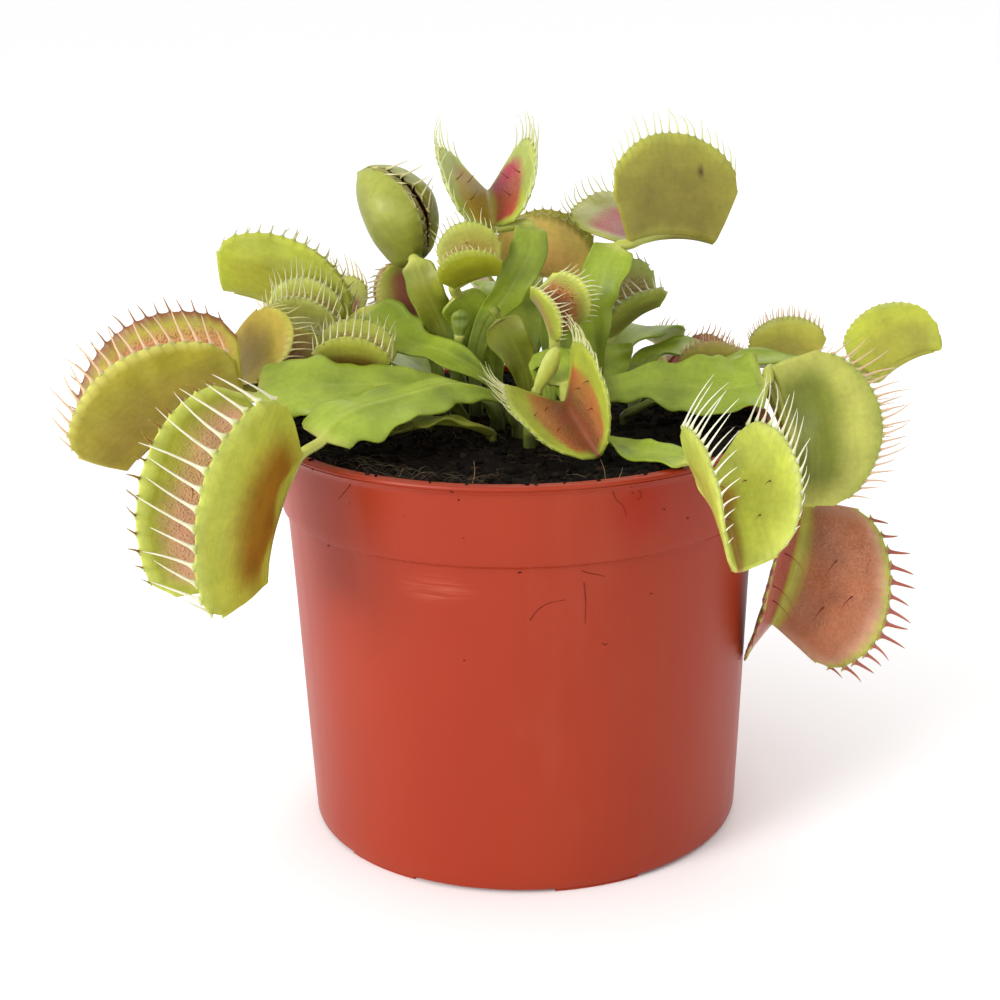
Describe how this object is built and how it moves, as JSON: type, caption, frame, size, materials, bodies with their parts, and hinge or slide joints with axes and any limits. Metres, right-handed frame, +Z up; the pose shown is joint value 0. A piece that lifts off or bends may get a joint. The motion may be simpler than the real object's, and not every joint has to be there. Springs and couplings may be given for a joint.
{
  "type": "potted venus flytrap",
  "caption": "Carnivorous rosette plant whose winged leaf stalks end in toothed two-lobed traps, rooted in dark peat in a small tapered plastic nursery pot.",
  "frame": {"origin": "centre of the underside of the pot, on the surface that it stands on", "axes": "+Z up, -Y toward the front of the plant, +X to the right seen from the front"},
  "size_m": [0.1581, 0.1312, 0.1266],
  "materials": {
    "pot": "thin moulded terracotta-coloured plastic, slightly glossy, a little scuffed and dusty",
    "soil": "damp black peat with fine fibres",
    "foliage": "fresh waxy leaf, yellow-green, with red and salmon trap linings"
  },
  "bodies": {
    "root": {"pot": "pot", "soil": "soil", "leaf_left_front": "foliage", "leaf_left": "foliage", "leaf_left_upper": "foliage", "leaf_left_inner": "foliage", "leaf_left_behind": "foliage", "leaf_left_small": "foliage", "leaf_top_left": "foliage", "leaf_top_left_small": "foliage", "leaf_top": "foliage", "leaf_middle_small": "foliage", "leaf_middle_young": "foliage", "leaf_back_top": "foliage", "leaf_top_right": "foliage", "leaf_right_inner": "foliage", "leaf_middle": "foliage", "bud_middle": "foliage", "leaf_front": "foliage", "leaf_right_front": "foliage", "leaf_right": "foliage", "leaf_right_low": "foliage", "leaf_far_right": "foliage", "leaf_right_back": "foliage", "leaf_right_behind": "foliage", "bud_front": "foliage", "bud_left": "foliage", "leaf_back": "foliage", "leaf_back_left": "foliage", "leaf_back_right": "foliage"}
  },
  "joints": []
}
